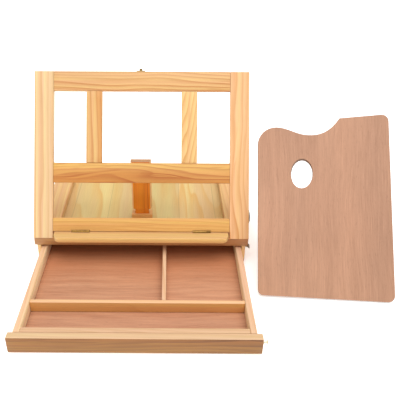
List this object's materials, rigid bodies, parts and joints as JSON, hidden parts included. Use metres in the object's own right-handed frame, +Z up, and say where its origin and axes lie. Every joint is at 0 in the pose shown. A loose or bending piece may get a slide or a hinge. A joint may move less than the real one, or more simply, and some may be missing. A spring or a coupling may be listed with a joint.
{
  "type": "table-top french box easel",
  "caption": "Shallow pine box with a sliding paint drawer, a folding canvas frame on a prop, a canvas ledge, a side handle, latches and a separate plywood palette.",
  "frame": {"origin": "centre of the case's underside, on the table", "axes": "+X to the right as one faces the easel, +Y from the drawer side to the back, +Z up"},
  "size_m": [0.5551, 0.462, 0.2747],
  "materials": {
    "pale_pine": "pale pine, clear satin varnish",
    "golden_pine": "golden pine, clear satin varnish",
    "amber_pine": "darker orange pine, clear satin varnish",
    "plywood": "pinkish brown plywood, matt",
    "panel_ply": "pale olive-yellow plywood, matt varnish",
    "palette_ply": "pinkish brown plywood, thin varnish",
    "brass": "aged, satin",
    "steel": "dull zinc plate",
    "leather": "dark brown, worn"
  },
  "bodies": {
    "case": {"case_bottom": "plywood", "case_side_left": "pale_pine", "case_side_right": "pale_pine", "case_back": "golden_pine", "top_panel": "panel_ply", "top_strip_left": "pale_pine", "top_strip_right": "pale_pine", "top_rail_front": "golden_pine", "top_rail_back": "golden_pine", "canvas_ledge": "golden_pine", "prop_block": "pale_pine", "prop_pin": "steel", "hinge_leaf_fixed_left": "brass", "hinge_leaf_fixed_right": "brass", "hinge_pin_left": "steel", "hinge_pin_right": "steel", "handle_eye_front": "brass", "handle_eye_back": "brass", "handle_screw_front_lower": "brass", "handle_screw_front_upper": "brass", "handle_screw_back_lower": "brass", "handle_screw_back_upper": "brass", "drawer_hook_screw": "brass", "latch_plate": "brass", "latch_pin": "steel", "latch_screw_left": "brass", "latch_screw_right": "brass"},
    "drawer": {"drawer_front": "golden_pine", "drawer_inner_front": "pale_pine", "drawer_side_left": "pale_pine", "drawer_side_right": "pale_pine", "drawer_back": "pale_pine", "drawer_floor": "plywood", "divider_cross": "golden_pine", "divider_long": "pale_pine", "drawer_stud": "brass"},
    "lid": {"stile_left": "pale_pine", "stile_right": "pale_pine", "rail_top": "golden_pine", "rail_middle": "amber_pine", "rail_bottom": "golden_pine", "muntin_left": "pale_pine", "muntin_right": "pale_pine", "hinge_leaf_lid_left": "brass", "hinge_leaf_lid_right": "brass", "lid_catch": "brass"},
    "prop": {"prop": "amber_pine"},
    "handle": {"handle_wire_front": "brass", "handle_wire_back": "brass", "handle_grip": "leather"},
    "drawer_hook": {"drawer_hook": "steel"},
    "latch_lever": {"latch_lever": "brass"},
    "latch_loop": {"latch_loop": "steel"},
    "palette": {"palette": "palette_ply"}
  },
  "joints": [
    {"name": "lid_fold", "type": "hinge", "parent": "case", "child": "lid", "pos_m": [0, -0.1245, 0.0545], "axis": [-1, 0, 0], "range_deg": [0, 59]},
    {"name": "prop_fold", "type": "hinge", "parent": "case", "child": "prop", "pos_m": [-0.002, -0.043, 0.036], "axis": [-1, 0, 0], "range_deg": [0, 96.66]},
    {"name": "drawer_slide", "type": "slide", "parent": "case", "child": "drawer", "axis": [0, -1, 0], "range_m": [-0.1845, 0.03]},
    {"name": "handle_swing", "type": "hinge", "parent": "case", "child": "handle", "pos_m": [0.17, 0, 0.0165], "axis": [0, 1, 0], "range_deg": [-60, 40]},
    {"name": "drawer_hook_swing", "type": "hinge", "parent": "case", "child": "drawer_hook", "pos_m": [0.171, -0.107, 0.018], "axis": [1, 0, 0], "range_deg": [-40, 30]},
    {"name": "latch_lever_swing", "type": "hinge", "parent": "case", "child": "latch_lever", "pos_m": [-0.002, 0.1329, 0.03], "axis": [1, 0, 0], "range_deg": [0, 120]},
    {"name": "latch_loop_swing", "type": "hinge", "parent": "latch_lever", "child": "latch_loop", "pos_m": [-0.002, 0.1333, 0.0265], "axis": [-1, 0, 0], "range_deg": [-175, 0]},
    {"name": "palette_lift", "type": "slide", "parent": "case", "child": "palette", "axis": [0, 0, 1], "range_m": [0, 0.15]}
  ],
  "couplings": [
    {"joint": "prop_fold", "follows": "lid_fold", "ratio": 1.6383}
  ]
}
